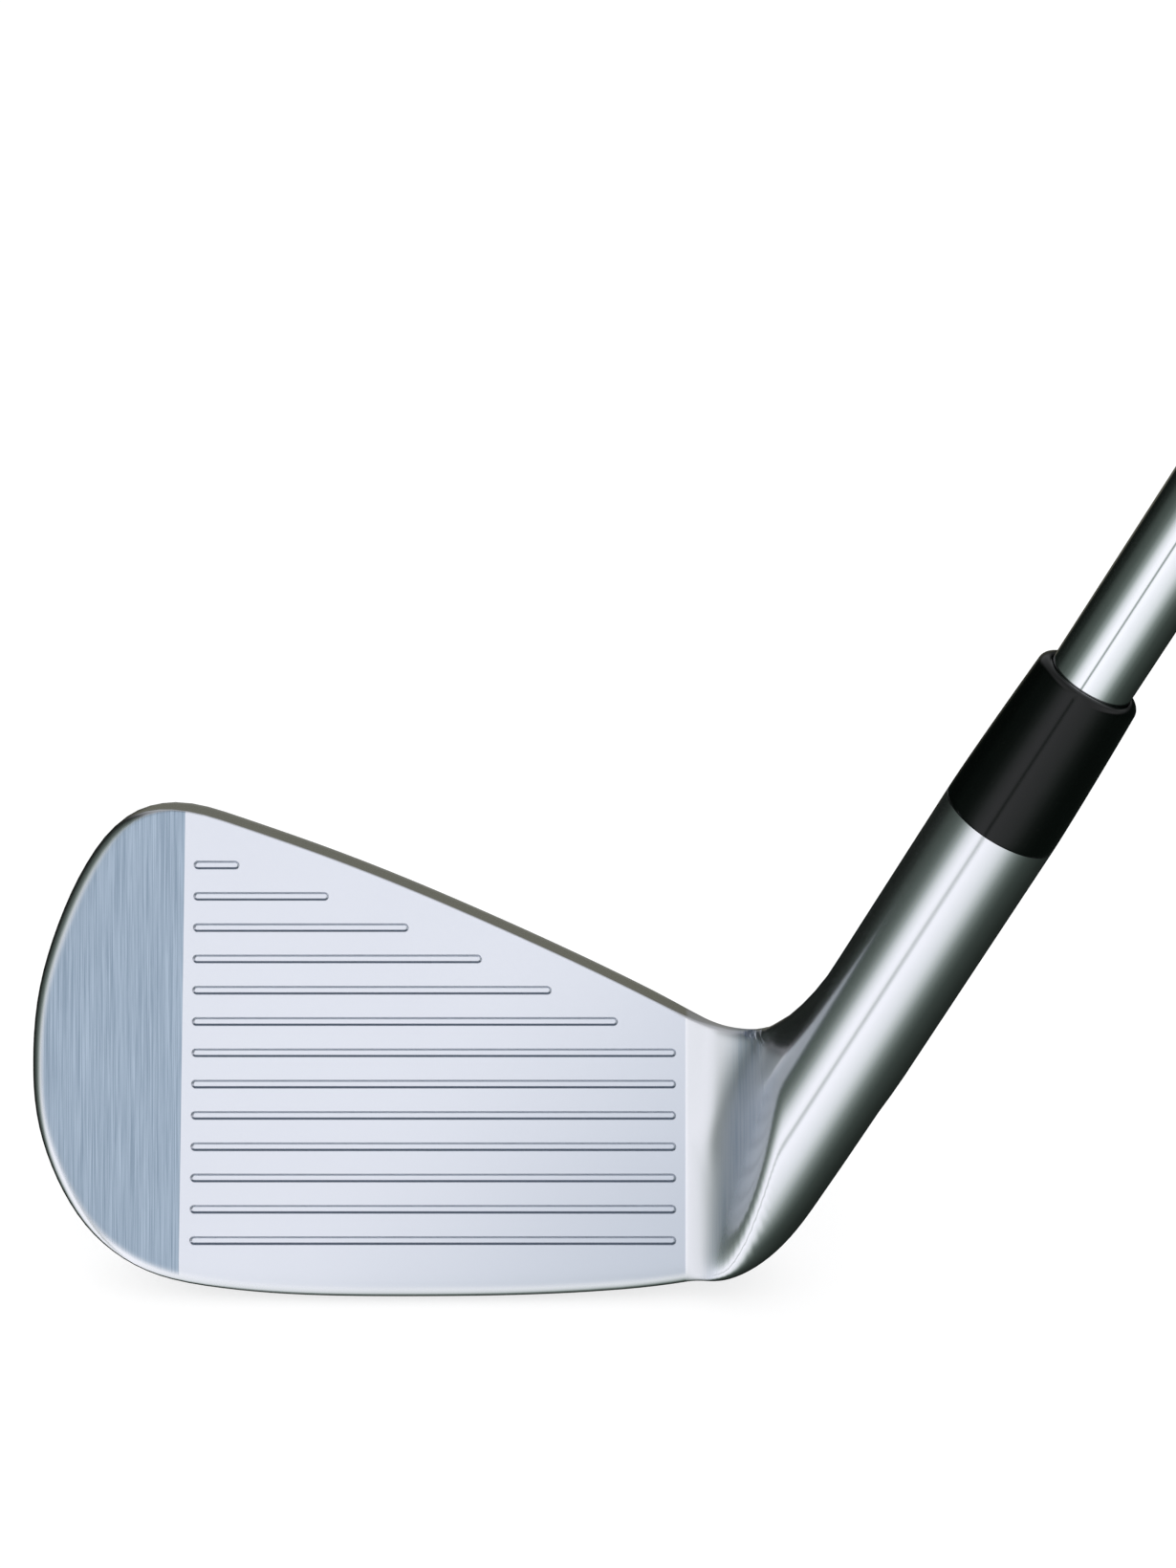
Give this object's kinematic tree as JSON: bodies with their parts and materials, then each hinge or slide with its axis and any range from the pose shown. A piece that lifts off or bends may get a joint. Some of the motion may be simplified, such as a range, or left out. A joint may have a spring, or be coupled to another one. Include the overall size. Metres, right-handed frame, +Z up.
{
  "type": "iron golf club",
  "caption": "Mid iron: forged muscle-back head with score lines, black ferrule, stepped steel shaft and tapered rubber grip.",
  "frame": {"origin": "middle of the hitting face, on its surface between two score lines", "axes": "+X from the toe towards the hosel, -Y towards the target, +Z up with the club at address"},
  "size_m": [0.5279, 0.0388, 0.8507],
  "materials": {
    "head_steel": "satin chrome over forged steel, blasted hitting area, vertically brushed toe",
    "ferrule_plastic": "polished black",
    "shaft_chrome": "mirror chrome",
    "epoxy": "cured adhesive",
    "plug_brass": "turned",
    "grip_rubber": "matt moulded rubber with a fine texture",
    "cap_rubber": "matt moulded rubber",
    "tape": "creped paper tape",
    "band_film": "plain printed film, unmarked"
  },
  "bodies": {
    "root": {"iron_head": "head_steel", "ferrule": "ferrule_plastic", "shaft": "shaft_chrome", "hosel_epoxy": "epoxy", "tip_weight": "plug_brass", "grip": "grip_rubber", "grip_cap": "cap_rubber", "grip_tape": "tape", "shaft_band": "band_film"}
  },
  "joints": []
}
